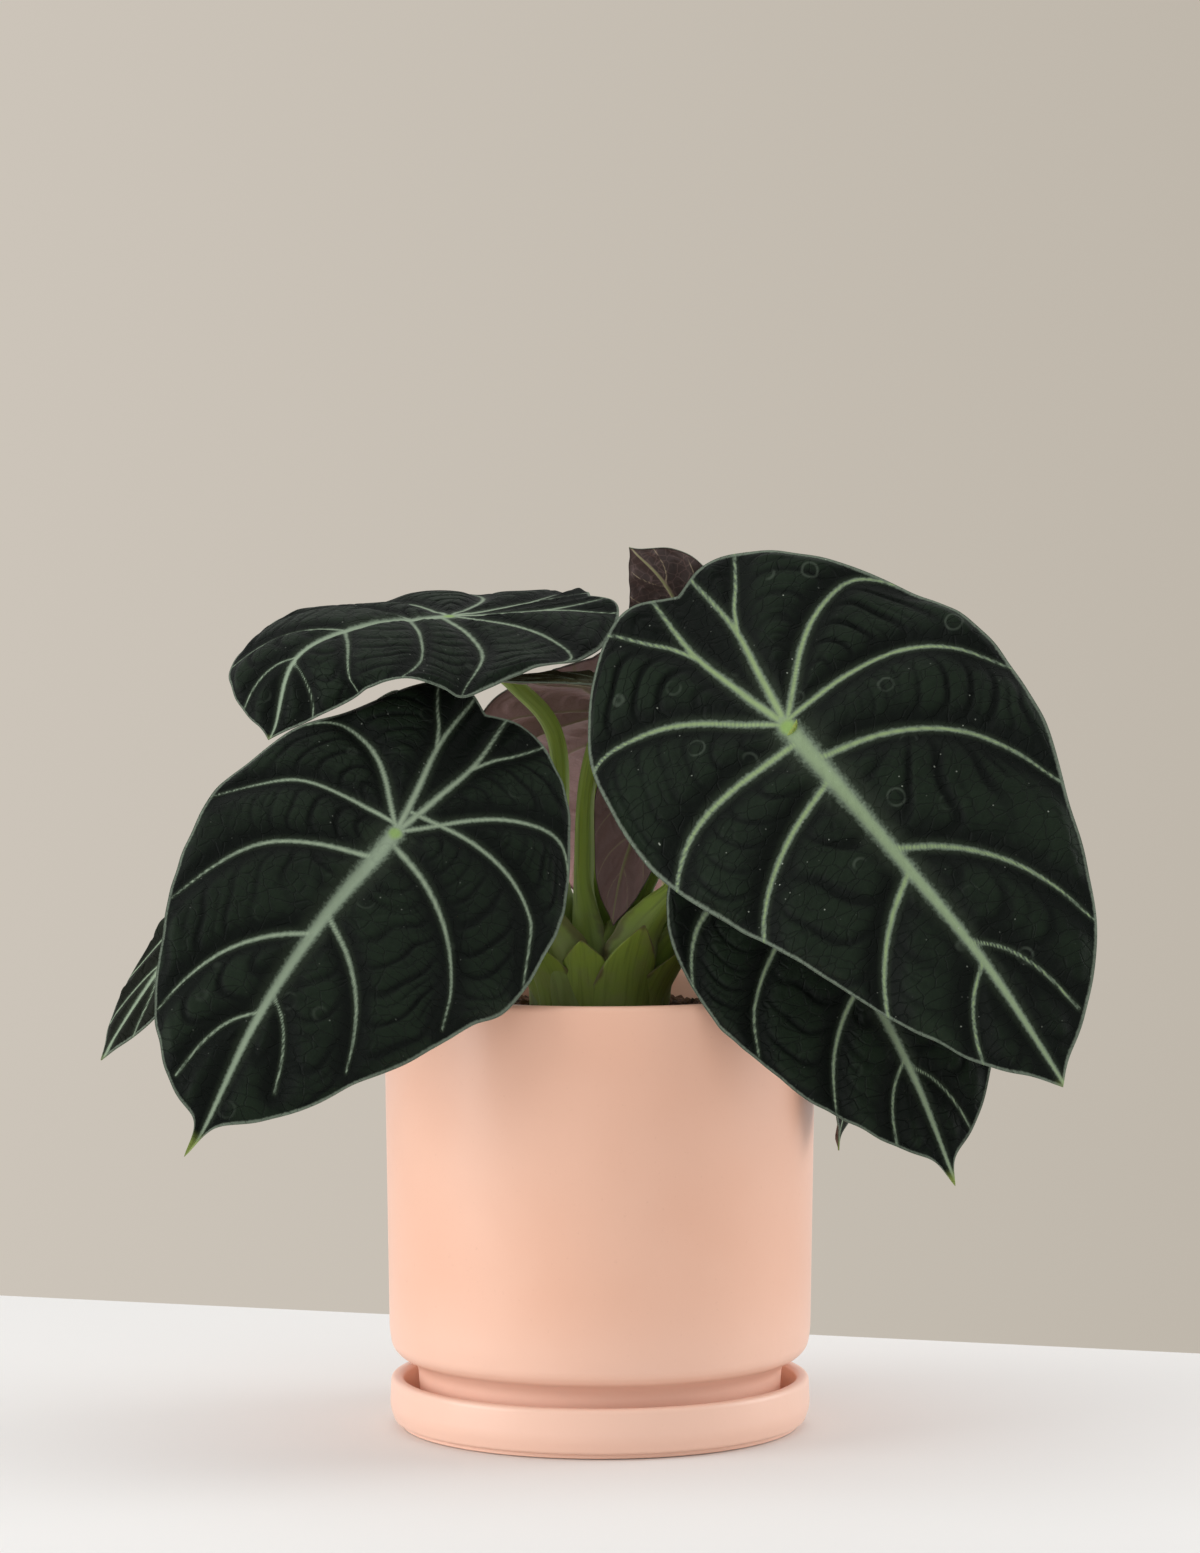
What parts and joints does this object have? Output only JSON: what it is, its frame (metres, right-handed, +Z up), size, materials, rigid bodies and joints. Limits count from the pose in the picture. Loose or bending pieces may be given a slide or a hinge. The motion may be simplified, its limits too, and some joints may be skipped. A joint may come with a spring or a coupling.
{
  "type": "potted alocasia plant",
  "caption": "Potted alocasia with dark velvety arrow-shaped leaves and pale veins, in a peach glazed cylinder pot standing on its saucer.",
  "frame": {"origin": "on the pot's axis, at the flat underside of the saucer", "axes": "+Z up along the pot's axis, -Y towards the front of the plant, +X to its right as seen from the front"},
  "size_m": [0.2854, 0.2177, 0.2646],
  "materials": {
    "glaze": "satin peach glaze",
    "potting_mix": "loose dark bark and peat with white grit",
    "crown": "fibrous green-brown rootstock",
    "stalk": "smooth fleshy green skin",
    "blade": "velvety dark green with silver veins, purple below"
  },
  "bodies": {
    "root": {"saucer": "glaze", "pot": "glaze", "potting_mix": "potting_mix", "crown": "crown", "stalk_right_front": "stalk", "blade_right_front": "blade", "stalk_left_front": "stalk", "blade_left_front": "blade", "stalk_upper_left": "stalk", "blade_upper_left": "blade", "stalk_lower_right": "stalk", "blade_lower_right": "blade", "stalk_far_left": "stalk", "blade_far_left": "blade", "stalk_right_side": "stalk", "blade_right_side": "blade", "stalk_upright_young": "stalk", "blade_upright_young": "blade", "stalk_back": "stalk", "blade_back": "blade", "stalk_young_hanging": "stalk", "blade_young_hanging": "blade", "stalk_unrolling": "stalk", "blade_unrolling": "blade"}
  },
  "joints": []
}
